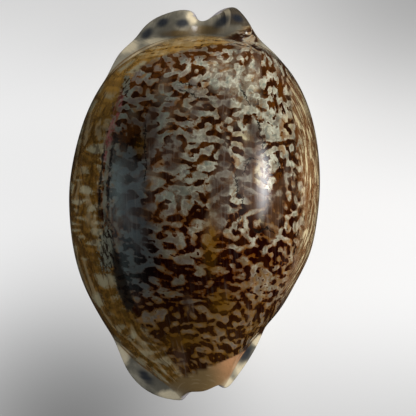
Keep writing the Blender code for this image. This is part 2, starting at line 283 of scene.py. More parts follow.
# The netting's middling, large and small strokes: (seed, size), and how strongly the small ones tell.
NETTING = ((4, 0.75), (7, 1.18), (14, 0.48))
SMALL_STROKES = 0.36
# How strongly middling clouds join the islands of the lower half into blocks.
BLOCKS = 0.45
# How far the small strokes must rise or fall to make dots and gaps in the others: above, below.
DOT_LEVEL = (1.5, 1.35)
# The blurs that spread the netting's amber, in mm round and along: the wide one and the narrow one.
BLEED_BLUR, SEEP_BLUR = (0.65, 0.45), (0.26, 0.20)
# The older strokes under the milky coat: (seed, size). Then the seeds of the random clouds.
GHOST = (9, 1.5)
KIND_SEED, LEVEL_SEED, BLOCKS_SEED, STRENGTH_SEED, VEIL_SEED = 4, 24, 57, 31, 41

# What the lights face, the point under the camera, and the level of the widest part, in metres.
LIGHTS_AIM = (0.0, 0.0, 0.015)
CAMERA_OVER = (0.00241, -0.00069)
WIDEST_LEVEL = 0.012

# Colours: what each is for, and its red, green and blue, 0 to 255 as on a screen.
COLOURS = {
    "pale_ground": ("Pale between the strokes, upper right", 224, 214, 184),
    "mint": ("Mint white spots in the ground", 234, 238, 216),
    # Painted highlight: the key light's reflection on the right of the back.
    "glow": ("Luminous cream smudges on the right", 240, 230, 186),
    "cool_ground": ("Blue grey between the strokes", 144, 152, 138),
    "grey_ground": ("Warm grey between the strokes", 140, 126, 104),
    "lilac_ground": ("Lilac grey clouds in the ground", 116, 98, 92),
    "low_ground": ("Ground of the lower back", 116, 94, 60),
    "ochre": ("Yellow stains in the ground", 158, 108, 36),
    "brown_pigment": ("Strokes of the upper back", 46, 20, 5),
    "dark_pigment": ("Strokes of the lower back", 30, 2, 0),
    "amber_pigment": ("Rims of the strokes", 112, 63, 14),
    "dark_amber": ("Rims of the lower strokes", 94, 44, 4),
    "bleeding": ("Amber that bleeds into the ground", 122, 84, 14),
    "golden_ground": ("Ground of the two sides", 144, 104, 44),
    "golden_pigment": ("Olive clouds of the two sides", 104, 76, 26),
    "golden_stroke": ("Dark lines of the two sides", 62, 34, 10),
    "amber_line": ("Lines of the right side", 104, 56, 16),
    "tan": ("Paler ground of the right side", 160, 130, 96),
    "cell": ("Pale ovals of the two sides", 172, 162, 130),
    "cell_bright": ("Cream between the growth lines", 226, 208, 166),
    # Where the veil mask holds, these also paint the sheen right of the middle, the key light's broad
    # reflection.
    "veiled_ground": ("Ground under the milky coat", 104, 90, 83),
    "veiled_pigment": ("Strokes under the milky coat", 64, 41, 33),
    "milk": ("The milky coat's streaks", 184, 178, 166),
    # Tint of the darker streaks and the grain, and of the painted shade: its patches and the band across the
    # upper back.
    "dimness": ("Tint of the dimmer streaks and patches", 109, 116, 112),
    # Blue grey ground beside the mantle line, partly a painted reflection of the cool strip light.
    "slate_ground_and_reflection": ("Ground beside the mantle line", 84, 94, 98),
    "slate": ("Strokes beside the mantle line", 14, 7, 6),
    # Painted reflection of the cool strip light along the mantle line.
    "haze": ("Smooth blue grey along the mantle line", 128, 144, 142),
    "mantle_pink": ("Upper end of the mantle line", 140, 82, 78),
    "blood": ("Dark red spots on the mantle line", 88, 16, 24),
    "crust": ("Grey crust beside the mantle line", 112, 114, 100),
    "crack": ("Hair cracks and the mantle line", 20, 16, 12),
    "border_gold": ("Border of the back along the lobes", 192, 160, 104),
    "border_line": ("Lines in that border", 176, 132, 60),
    "roof": ("The bare roof of the narrow canal", 190, 140, 100),
    "roof_dark": ("Olive parts of that roof", 122, 100, 66),
    "callus": ("Lobes and flanges", 170, 163, 144),
    "callus_shade": ("Greyer parts of the lobes", 110, 106, 94),
    "cream": ("Palest parts of the lobes and flanges", 228, 214, 182),
    "umber": ("Dark brown part of the right lobe", 58, 46, 34),
    "saddle": ("Olive brown between the lobes", 112, 92, 56),
    "base": ("Underside", 214, 198, 172),
    "blue_black": ("Blurred spots on the callus", 38, 44, 54),
    "tooth": ("Lines between the teeth", 104, 54, 28),
    "hollow": ("Inside wall", 196, 190, 196),
}


def linear(red, green, blue):
    """A colour given as 0 to 255 on a screen, as the light it stands for."""
    shares = [part / 255 for part in (red, green, blue)]
    return tuple(s / 12.92 if s <= 0.04045 else ((s + 0.055) / 1.055) ** 2.4 for s in shares)


def curve_through(points, place):
    """A smooth curve through (place, value) points, read at the places given."""
    x, value = np.array(points, float).T
    gap = np.diff(x)
    last = len(x) - 1
    matrix = np.eye(last + 1)
    right = np.zeros(last + 1)
    for k in range(1, last):
        matrix[k, k - 1 : k + 2] = gap[k - 1], 2 * (gap[k - 1] + gap[k]), gap[k]
        right[k] = 6 * ((value[k + 1] - value[k]) / gap[k] - (value[k] - value[k - 1]) / gap[k - 1])
    bend = np.linalg.solve(matrix, right)
    place = np.clip(place, x[0], x[-1])
    k = np.clip(np.searchsorted(x, place) - 1, 0, last - 1)
    a = (x[k + 1] - place) / gap[k]
    b = 1 - a
    curved = (a**3 - a) * bend[k] + (b**3 - b) * bend[k + 1]
    return a * value[k] + b * value[k + 1] + curved * gap[k] ** 2 / 6


def smooth_step(value, low, high):
    """0 below low, 1 above high, and a smooth rise between."""
    t = np.clip((value - low) / (high - low), 0, 1)
    return t * t * (3 - 2 * t)


def larger(a, b, blend):
    """The larger of two radii, with the corner between them rounded."""
    return 0.5 * (a + b + np.sqrt((a - b) ** 2 + blend**2))


def closing(y, roundness):
    """1 along most of the back, falling to 0 at its broad end as a rounded arc does."""
    share = np.clip(y / BACK_END, 0, 1)
    return (1 - share**roundness) ** (1 / roundness)


def oval_radius(angle, left, right, up, down, crown):
    """Distance from the axis to an oval with its own half width and height in each quarter."""
    across, upward = np.cos(angle), np.sin(angle)
    width = left + (right - left) * smooth_step(across, *SIDE_BLEND)
    height = down + (up - down) * smooth_step(upward, *HEIGHT_BLEND)
    power = BASE_CROWN + (crown - BASE_CROWN) * smooth_step(upward, *CROWN_BLEND)
    return ((np.abs(across) / width) ** power + (np.abs(upward) / height) ** power) ** (-1 / power)


def swelling(angle, y, bump):
    """Height of a rounded swelling on the surface."""
    at_angle, at_y, angle_spread, y_spread, height = bump
    turn = (np.degrees(angle) - at_angle) / angle_spread
    return height * np.exp(-(turn**2) - ((y - at_y) / y_spread) ** 2)


def back_radius(angle, y, inset_side=0.0, inset_top=0.0, inset_base=0.0):
    """Distance from the axis to the domed back, or to the hollow that far inside it."""
    axis_x, axis_z = curve_through(AXIS_X, y), curve_through(AXIS_Z, y)
    left = (curve_through(BACK_LEFT, y) + axis_x) * closing(y, BACK_LEFT_ROUNDNESS) - inset_side
    right = (curve_through(BACK_RIGHT, y) - axis_x) * closing(y, BACK_RIGHT_ROUNDNESS) - inset_side
    up = (curve_through(BACK_TOP, y) - axis_z) * closing(y, BACK_TOP_ROUNDNESS) - inset_top
    down = axis_z - curve_through(BASE_Z, y) - inset_base
    sizes = [np.maximum(size, SMALLEST) for size in (left, right, up, down)]
    return oval_radius(angle, *sizes, BACK_CROWN)


def brim_radius(angle, y):
    """Distance from the axis to the callus, with the lobes and the buried spire at the broad end."""
    axis_x, axis_z = curve_through(AXIS_X, y), curve_through(AXIS_Z, y)
    left = curve_through(BRIM_LEFT, y) + axis_x
    right = curve_through(BRIM_RIGHT, y) - axis_x
    down = axis_z - curve_through(BASE_Z, y)
    radius = oval_radius(angle, left, right, curve_through(BRIM_TOP, y), down, BRIM_CROWN)
    return radius + sum(swelling(angle, y, bump) for bump in (LEFT_LOBE, RIGHT_LOBE, SPIRE))


def outside_radius(angle, y, crease):
    """Distance from the axis to the outside of the shell."""
    blend = SHARPEST_CREASE + (crease - SHARPEST_CREASE) * smooth_step(np.sin(angle), *BASE_CREASE)
    return larger(back_radius(angle, y), brim_radius(angle, y), blend)


def inside_radius(angle, y):
    """Distance from the axis to the hollow, which narrows to a canal at both ends."""
    stretched = np.where(y > 0, y * HOLLOW_SHORTENING, y)
    floor = 2 * curve_through(LIP_HALF_THICKNESS, y)
    hollow = back_radius(angle, stretched, SIDE_WALL, BACK_WALL, floor)
    return larger(hollow, CANAL_RADIUS, CANAL_BLEND)


def toothed(y):
    """1 where the lips have teeth, and 0 at their ends."""
    begins = smooth_step(y, TEETH_FROM, TEETH_FROM + TEETH_FADE)
    return begins * smooth_step(-y, -TEETH_TO, TEETH_FADE - TEETH_TO)


def tooth(y, side, pitch):
    """1 on the crest of a tooth and 0 in the groove between two; the lips' teeth alternate."""
    wave = 0.5 + 0.5 * side * np.cos(2 * math.pi * y / pitch)
    crest = 1 - (1 - wave) ** TOOTH_BREADTH
    return 1 - (1 - crest) * toothed(y)


def span_of(y, lip_z):
    """Angle from straight down to where a lip begins, at that height above the axis."""
    reach = curve_through(SLIT_HALF_WIDTH, y) + LIP_REACH * curve_through(LIP_HALF_THICKNESS, y)
    return np.arctan2(reach, curve_through(AXIS_Z, y) - lip_z)


def angle_of(share, span):
    """Angle round the axis, at a share of the way from the right lip over the back."""
    return -math.pi / 2 + span + share * (2 * math.pi - 2 * span)


def on_wall(y, angle, reach):
    """Point (x, z) at an angle and a distance from the axis."""
    return curve_through(AXIS_X, y) + reach * np.cos(angle), curve_through(AXIS_Z, y) + reach * np.sin(angle)


def shell_sections(y, share, turn, shape):
    """Points (x, z) of the wall's two faces and the lips between them."""
    base = curve_through(BASE_Z, y)
    floor = base + 2 * curve_through(LIP_HALF_THICKNESS, y)
    outer_angle, inner_angle = angle_of(share, span_of(y, base)), angle_of(share, span_of(y, floor))
    outer = on_wall(y, outer_angle, outside_radius(outer_angle, y, shape.crease / MM))
    inner = on_wall(y, inner_angle, inside_radius(inner_angle, y))
    side = np.where(share > 0.5, -1.0, 1.0)
    height = shape.tooth_height / MM
    gap = 1 - tooth(y, side, shape.tooth_pitch / MM)
    edge = curve_through(AXIS_X, y) + side * curve_through(SLIT_HALF_WIDTH, y)
    middle = [(a + b) / 2 for a, b in zip(outer, inner)]
    x = middle[0] + (outer[0] - middle[0]) * np.cos(turn) + (edge - middle[0]) * np.sin(turn)
    z = middle[1] + (outer[1] - middle[1]) * np.cos(turn)
    groove = height * gap * np.sin(turn) ** TOOTH_ROUNDNESS
    x = x + side * groove * np.sin(turn)
    z = z + groove * np.cos(turn)
    # Between the teeth, grooves run out a little way over the base.
    on_base = np.where(turn == 0.0, np.exp(-((np.minimum(share, 1 - share) / TOOTH_SPREAD) ** 2)), 0.0)
    z = np.maximum(z + height * on_base * gap, 0.0)
    return x, z, outer_angle


def rim_of(share, rim, y):
    """Where the wall closes at an end: its (x, y, z), and how sharply it gets there."""
    angle, distance, along, sharpness = np.array(rim, float).T
    at = angle[0] + share * (angle[-1] - angle[0])
    reach, end, power = (curve_through(list(zip(angle, v)), at) for v in (distance, along, sharpness))
    x, z = on_wall(y, np.radians(at), reach)
    return x, end, z, power


def outside_shares():
    """Shares of the way over the outside, closer together by the lips, where the teeth are."""
    edges = (0.0, LIP_ZONE, BASE_ZONE, BRIM_ZONE)
    right = [
        low + (high - low) * k / steps
        for low, high, steps in zip(edges, edges[1:], (LIP_STEPS, BASE_STEPS, BRIM_STEPS))
        for k in range(steps)
    ]
    back = list(np.linspace(BRIM_ZONE, 1 - BRIM_ZONE, BACK_STEPS + 1))
    return np.array(right + back + [1 - share for share in reversed(right)])


def loop_columns():
    """Each column of a row: its share of the way round, and its turn round a lip."""
    outside = outside_shares()
    inside = outside[::INSIDE_EVERY]
    lip = math.pi * np.arange(1, ROUND_LIP_POINTS + 1) / (ROUND_LIP_POINTS + 1)
    share = np.concatenate([outside, np.ones(len(lip)), inside[::-1], np.zeros(len(lip)), outside[:1]])
    turn = np.concatenate([0 * outside, lip, 0 * inside + math.pi, lip[::-1], [0.0]])
    return share, turn, inside


def row_places():
    """Places along the shell of the full rows, evenly spaced over the ridge of the back."""
    y = np.linspace(NARROW_ROWS_START, BROAD_ROWS_END, RIDGE_SAMPLES)
    upward = np.full_like(y, math.pi / 2)
    ridge = curve_through(AXIS_Z, y) + outside_radius(upward, y, RIDGE_CREASE)
    length = np.concatenate([[0.0], np.cumsum(np.hypot(np.diff(y), RISE_COUNTS * np.diff(ridge)))])
    return np.interp(np.linspace(0, length[-1], FULL_ROWS), length, y)


def shell_grid(shape):
    """The shell's points in mm as rows and columns, with the share, turn and angle of each."""
    share, turn, inside = loop_columns()
    rim_share = inside[np.argmin(np.abs(share[:, None] - inside), axis=1)]
    places = row_places()
    full = np.repeat(places[:, None], len(share), axis=1)
    x, z, angle = shell_sections(full, share, turn, shape)
    middle = np.stack([x, full, z], axis=2)
    ends = []
    for rim, start in ((BROAD_RIM, places[-1]), (NARROW_RIM, places[0])):
        rows, angles = [], []
        for k in range(1, END_ROWS + 1):
            along = math.sin(math.pi / 2 * k / END_ROWS)
            toward = share if k < END_ROWS else rim_share
            _, end, _, power = rim_of(toward, rim, np.full(len(share), start))
            y = start + (end - start) * along
            rim_x, _, rim_z, _ = rim_of(toward, rim, y)
            open_share = (1 - along**power) ** (1 / power) if k < END_ROWS else 0.0
            x, z, row_angle = shell_sections(y, share, turn, shape)
            x, z = rim_x + (x - rim_x) * open_share, rim_z + (z - rim_z) * open_share
            rows.append(np.stack([x, y, z], axis=1))
            angles.append(row_angle)
        ends.append((np.array(rows), np.array(angles)))
    points = np.concatenate([ends[1][0][::-1], middle, ends[0][0]]) - np.array(MIDDLE)
    angle = np.concatenate([ends[1][1][::-1], angle, ends[0][1]])
    return points, share, turn, angle


def bell(size_x, size_y, turned=0.0):
    """What a bell-shaped blur of that size in mm does to each wave on the pigment sheet."""
    fy = np.fft.fftfreq(SHEET_SHAPE[0], SHEET_STEP)[:, None]
    fx = np.fft.rfftfreq(SHEET_SHAPE[1], SHEET_STEP)[None, :]
    c, s = math.cos(math.radians(turned)), math.sin(math.radians(turned))
    fx, fy = fx * c + fy * s, fy * c - fx * s
    return np.exp(-2 * math.pi**2 * ((fx * size_x) ** 2 + (fy * size_y) ** 2))


def blurred(sheet, blur):
    """The sheet after a blur."""
    return np.fft.irfft2(np.fft.rfft2(sheet) * blur, s=SHEET_SHAPE)


def cloud(seeded, size_x, size_y):
    """Soft random patches of that size, as strong as they are weak."""
    sheet = blurred(seeded.standard_normal(SHEET_SHAPE), bell(size_x, size_y))
    return sheet / sheet.std()


def patch(x, y, at_x, at_y, wide_x, wide_y):
    """A soft oval patch."""
    return np.exp(-(((x - at_x) / wide_x) ** 2) - ((y - at_y) / wide_y) ** 2)


def patches(x, y, ovals):
    """The strongest of some soft oval patches."""
    return np.max([patch(x, y, *oval) for oval in ovals], axis=0)


def sheet_places():
    """Distances round and along the shell of the sheet's columns and rows, in mm."""
    rows, columns = SHEET_SHAPE
    around = (np.arange(columns) - columns / 2)[None, :] * SHEET_STEP
    along = (np.arange(rows) - rows / 2)[:, None] * SHEET_STEP
    return around, along


def in_lower_half(along):
    """0 on the broad half of the shell, and 1 on most of the narrow half."""
    return smooth_step(-along, 2, 10)


def stroke_shares():
    """How far each kind of stroke has its way over the sheet; together they make 1 everywhere."""
    around, along = sheet_places()
    lower = in_lower_half(along)
    which = cloud(np.random.default_rng(KIND_SEED), 2.4, 2.4) + 2.5 * smooth_step(np.abs(around), 22, 30)
    which = which + 0.9 * smooth_step(-around, 7, 15) - 0.6 * smooth_step(along, 19, 28) - 0.5 * lower
    which = which - 1.0 * smooth_step(-along, 15, 23)
    lengthwise = 1 / (1 + np.exp(-5 * (which - 0.60)))
    across = 1 / (1 + np.exp(5 * (which + 0.25)))
    rightward = lower * smooth_step(-around, 5, 12)
    leftward = lower * smooth_step(around, 10, 16)
    level = 1 - rightward - leftward
    either = np.clip(1 - lengthwise - across, 0, 1)
    return [level * across, level * lengthwise, rightward, leftward, level * either]


def grown_strokes(seed, size):
    """Grows strokes of pigment: cells near one another agree, and those further off differ."""
    seeded = np.random.default_rng(seed)
    shares = stroke_shares()
    lengthwise, across = STROKE_SPREAD
    kernels = [
        bell(size * long, size * wide, turned) - bell(lengthwise * size * long, across * size * wide, turned)
        for long, wide, turned in STROKE_SIZES
    ]
    bias = sum(strength * cloud(seeded, *sizes) for strength, *sizes in STROKE_CLOUDS)
    sheet = STROKE_START * seeded.standard_normal(SHEET_SHAPE)
    for _ in range(STROKE_STEPS):
        waves = np.fft.rfft2(sheet)
        parts = [np.fft.irfft2(waves * kernel, s=SHEET_SHAPE) for kernel in kernels]
        drive = sum(share * part for share, part in zip(shares, parts))
        sheet = np.tanh(STROKE_CONTRAST * drive + bias)
    drive = blurred(drive, bell(STROKE_BLUR, STROKE_BLUR))
    return drive / drive.std()


def netted_sheet():
    """The netting's pigment: small strokes over larger ones, more of both below and to the left."""
    around, along = sheet_places()
    lower = in_lower_half(along)
    middling, large, small = (grown_strokes(seed, size) for seed, size in NETTING)
    coarser = smooth_step(patches(around, along, COARSE_PATCHES), 0.3, 0.7)
    finer = SMALL_STROKES * (1 - 0.5 * coarser) * (1 + 1.3 * smooth_step(along, 14, 21))
    sheet = middling + (large - middling) * coarser + finer * small
    for strength, *oval in PIGMENT_PATCHES:
        sheet = sheet + strength * patch(around, along, *oval)
    sheet = sheet + PIGMENT_LEVEL + 0.3 * cloud(np.random.default_rng(LEVEL_SEED), 2.2, 1.6)
    sheet = sheet + BLOCKS * lower * cloud(np.random.default_rng(BLOCKS_SEED), 0.75, 0.6)
    level = DOT_LEVEL[0] + (DOT_LEVEL[1] - DOT_LEVEL[0]) * lower
    return np.clip(sheet, small - level, small + level)


def read_sheet(sheet, around, along):
    """The sheet's value at distances round and along the shell, in mm."""
    column = np.clip(around / SHEET_STEP + SHEET_SHAPE[1] / 2, 0, SHEET_SHAPE[1] - 1.001)
    row = np.clip(along / SHEET_STEP + SHEET_SHAPE[0] / 2, 0, SHEET_SHAPE[0] - 1.001)
    c, r = column.astype(int), row.astype(int)
    u, v = column - c, row - r
    low = sheet[r, c] * (1 - u) + sheet[r, c + 1] * u
    high = sheet[r + 1, c] * (1 - u) + sheet[r + 1, c + 1] * u
    return low * (1 - v) + high * v


def surface_distances(points, share, turn):
    """How far each point lies round from the ridge, and along from the middle, in mm."""
    outer = points[:, turn == 0.0][:, :-1]
    shares = share[turn == 0.0][:-1]
    round_step = np.linalg.norm(np.diff(outer, axis=1), axis=2)
    around = np.concatenate([np.zeros((len(outer), 1)), np.cumsum(round_step, axis=1)], axis=1)
    around -= around[:, np.argmin(np.abs(shares - 0.5))][:, None]
    along_step = np.linalg.norm(np.diff(outer, axis=0), axis=2)
    along = np.concatenate([np.zeros((1, outer.shape[1])), np.cumsum(along_step, axis=0)])
    along -= along[np.argmin(np.abs(outer[:, len(shares) // 2, 1]))][None, :]
    nearest = np.argmin(np.abs(share[:, None] - shares), axis=1)
    return around[:, nearest], along[:, nearest]


def crack_offsets(x, y):
    """How far each point is to one side of the nearest crack, and whether it is close to it."""
    side = np.full_like(x, CRACK_FAR)
    for crack in CRACKS:
        for (from_x, from_y), (to_x, to_y) in zip(crack, crack[1:]):
            run_x, run_y = to_x - from_x, to_y - from_y
            length = math.hypot(run_x, run_y)
            share = np.clip(((x - from_x) * run_x + (y - from_y) * run_y) / length**2, 0, 1)
            off = np.hypot(x - from_x - share * run_x, y - from_y - share * run_y)
            sign = np.sign((x - from_x) * run_y - (y - from_y) * run_x)
            side = np.where(off < np.abs(side), off * sign, side)
    return side, np.where(np.abs(side) < CRACK_REACH, 1.0, 0.0)


def evened_out(edge):
    """An edge that has a value on each row, without its steps from row to row."""
    smoother = np.hanning(EDGE_ROWS) / np.hanning(EDGE_ROWS).sum()
    return np.convolve(np.pad(edge, EDGE_ROWS // 2, mode="edge"), smoother, mode="valid")


def margin_share(line, side, x, y, around, share, proud):
    """How far each point has come from a line on the back (0) to that side's edge (1)."""
    upper = (share > UNDER_SIDE) & (share < 1 - UNDER_SIDE)
    start = [
        np.interp(target, row_x[::-1], row_around[::-1])
        for target, row_x, row_around in zip(curve_through(line, y[:, 0]), x[:, upper], around[:, upper])
    ]
    on_back = (proud < 0) & upper[None, :]
    furthest = np.argmax(np.where(on_back, side * x, -FAR), axis=1)
    edge = evened_out(around[np.arange(len(around)), furthest])
    start = evened_out(start)
    reach = -side * np.maximum(side * (start - edge), NARROWEST_MARGIN)
    return (around - start[:, None]) / reach[:, None]


def crease_distance(proud, y):
    """How far each point of the back lies from the crease under the lobes, in mm as seen from above."""
    crease = evened_out(np.min(np.where((proud > 0) & (y > 0), y, FAR), axis=0))
    return np.clip(crease[None, :] - y, -3.0, 12.0)


def lobe_spots(x, y):
    """The blurred spots of the lobes and flanges."""
    spots = np.zeros_like(x)
    for at_x, at_y, half_length, half_width, turned in LOBE_SPOTS:
        c, s = math.cos(math.radians(turned)), math.sin(math.radians(turned))
        dx, dy = x - at_x, y - at_y
        oval = ((dx * c + dy * s) / half_length) ** 2 + ((dy * c - dx * s) / half_width) ** 2
        spots = np.maximum(spots, np.exp(-(oval**SPOT_EDGE)))
    return spots


def slowed(along, low, high, pace):
    """Distances along the shell that run at a slower pace past two places."""
    return np.clip(along, low, high) + pace * (np.minimum(along - low, 0) + np.maximum(along - high, 0))


def shell_masks(points, share, turn, angle, shape):
    """What each point of the surface carries, each as a value over the rows and columns."""
    x, y, z = np.moveaxis(points + np.array(MIDDLE), 2, 0)
    around, along = surface_distances(points, share, turn)
    read = slowed(along, -STEEP_FROM, STEEP_FROM, STEEP_PACE)
    netting = netted_sheet()
    sheets = {
        "netted": netting,
        "bleed": blurred(netting, bell(*BLEED_BLUR)),
        "seep": blurred(netting, bell(*SEEP_BLUR)),
        "strength": cloud(np.random.default_rng(STRENGTH_SEED), 1.3, 1.8),
        "veil": cloud(np.random.default_rng(VEIL_SEED), 0.9, 3.0),
        "ghost": grown_strokes(*GHOST),
    }
    masks = {name: read_sheet(sheet, around, read) for name, sheet in sheets.items()}
    masks["veil"] = smooth_step(masks["veil"] + 1.6 * patches(x, y, VEILED_PATCHES), 0.6, 1.5)
    outside = (turn == 0.0)[None, :] * np.ones_like(x)
    proud = brim_radius(angle, y) - back_radius(angle, y)
    spire = swelling(angle, y, SPIRE) / SPIRE[-1]
    low = 1 - smooth_step(z, 5.0, 9.5)
    golden_edge = smooth_step(y, -24.2, -23.4) * smooth_step(-y, 10, 14) * smooth_step(x, 2, 6)
    on_spire = smooth_step(spire, 0.15, 0.35) * smooth_step(z, 4, 6)
    on_spire = on_spire * smooth_step(31.6 - y + 0.45 * (x - 9), 0, 1)
    brim = smooth_step(proud, -0.4, 0.3) * (1 - np.maximum(on_spire, golden_edge))
    callus = np.maximum(low, brim)
    side = np.where(share > 0.5, -1.0, 1.0)[None, :]
    near_lip = np.exp(-((np.minimum(share, 1 - share)[None, :] / TOOTH_LINES) ** 2)) * outside
    crest = tooth(y, side, shape.tooth_pitch / MM)
    crack_side, crack_near = crack_offsets(x, y)
    above = smooth_step(z, 6, 10) * outside
    along_wedge, *wedge_sides = np.array(WEDGE).T
    wedge_left, wedge_right = (np.interp(y, along_wedge, sides) for sides in wedge_sides)
    roof = ROOF_EDGE + ROOF_SLOPE * x - y
    masks |= {name: patches(x, y, ovals) * above for name, ovals in BACK_PATCHES.items()}
    masks |= {name: patches(x, y, ovals) for name, ovals in CALLUS_PATCHES.items()}
    return masks | {
        "around": around,
        "along": along,
        "callus": callus * outside + (1 - outside),
        "base": (1 - smooth_step(z, 1.5, 6.0)) * outside + (1 - outside),
        "roof": smooth_step(roof, -0.15, 0.15) * (1 - smooth_step(proud, -0.3, 0.5)),
        "spots": lobe_spots(x, y) * smooth_step(z, 3.5, 5.5),
        "proud": np.clip(proud, -8.0, 8.0),
        "spire": on_spire,
        "mantle": x - curve_through(MANTLE_LINE, y),
        "to_crease": crease_distance(proud, y),
        "left_share": margin_share(MANTLE_LINE, -1, x, y, around, share, proud),
        "right_share": margin_share(RIGHT_MARGIN, 1, x, y, around, share, proud),
        "right_margin": x - curve_through(RIGHT_MARGIN, y),
        "flow": slowed(along, FLOW_FROM, FLOW_TO, FLOW_PACE),
        "crack_side": crack_side,
        "crack_near": crack_near * above,
        "wedge": np.minimum(x - wedge_left, wedge_right - x),
        "gaps": (1 - crest) * toothed(y) * np.maximum(near_lip, np.sin(turn)[None, :]),
        "hollow": smooth_step(turn, 1.8, 3.0)[None, :] * np.ones_like(x),
    }


class Value:
    """A node's output, with which sums, products and steps are written."""

    def __init__(self, make, socket):
        self.make, self.socket = make, socket

    def __add__(self, other):
        return self.make.math("ADD", self, other)

    def __sub__(self, other):
        return self.make.math("SUBTRACT", self, other)

    def __rsub__(self, other):
        return self.make.math("SUBTRACT", other, self)

    def __mul__(self, other):
        return self.make.math("MULTIPLY", self, other)

    def __abs__(self):
        return self.make.math("ABSOLUTE", self)

    def step(self, low, high, to_low=0.0, to_high=1.0):
        """A smooth change, from one value at low to another at high."""
        limits = (("From Min", low), ("From Max", high), ("To Min", to_low), ("To Max", to_high))
        return self.make.add("ShaderNodeMapRange", ("Value", self), *limits, interpolation_type="SMOOTHSTEP")


class Nodes:
    """Adds nodes to a material or to the sky, joins them, and hands back their outputs."""

    def __init__(self, tree):
        self.tree = tree

    def add(self, kind, *inputs, output=0, **settings):
        """A new node, whose inputs are given as pairs of their key and a value or an output."""
        node = self.tree.nodes.new(kind)
        for name, value in settings.items():
            setattr(node, name, value)
        for key, value in inputs:
            self.put(node.inputs[key], value)
        return Value(self, node.outputs[output])

    def put(self, socket, value):
        """Joins an output to an input, or sets the input to a value."""
        if isinstance(value, Value):
            self.tree.links.new(value.socket, socket)
        else:
            socket.default_value = value

    def math(self, operation, *values):
        return self.add("ShaderNodeMath", *enumerate(values), operation=operation)

    def most(self, first, second):
        return self.math("MAXIMUM", first, second)

    def noise(self, vector, scale=1.0, detail=2.0, roughness=0.5, distortion=0.0):
        inputs = (("Vector", vector), ("Scale", scale), ("Detail", detail), ("Roughness", roughness))
        return self.add("ShaderNodeTexNoise", *inputs, ("Distortion", distortion))

    def colour(self, share, first, second, blend="MIX"):
        """The first colour, with a share of the second laid over it."""
        first, second = (c if isinstance(c, Value) else (*c[:3], 1.0) for c in (first, second))
        inputs = ((0, share), (6, first), (7, second))
        return self.add("ShaderNodeMix", *inputs, output=2, data_type="RGBA", blend_type=blend)

    def vector(self, x, y):
        return self.add("ShaderNodeCombineXYZ", (0, x), (1, y))


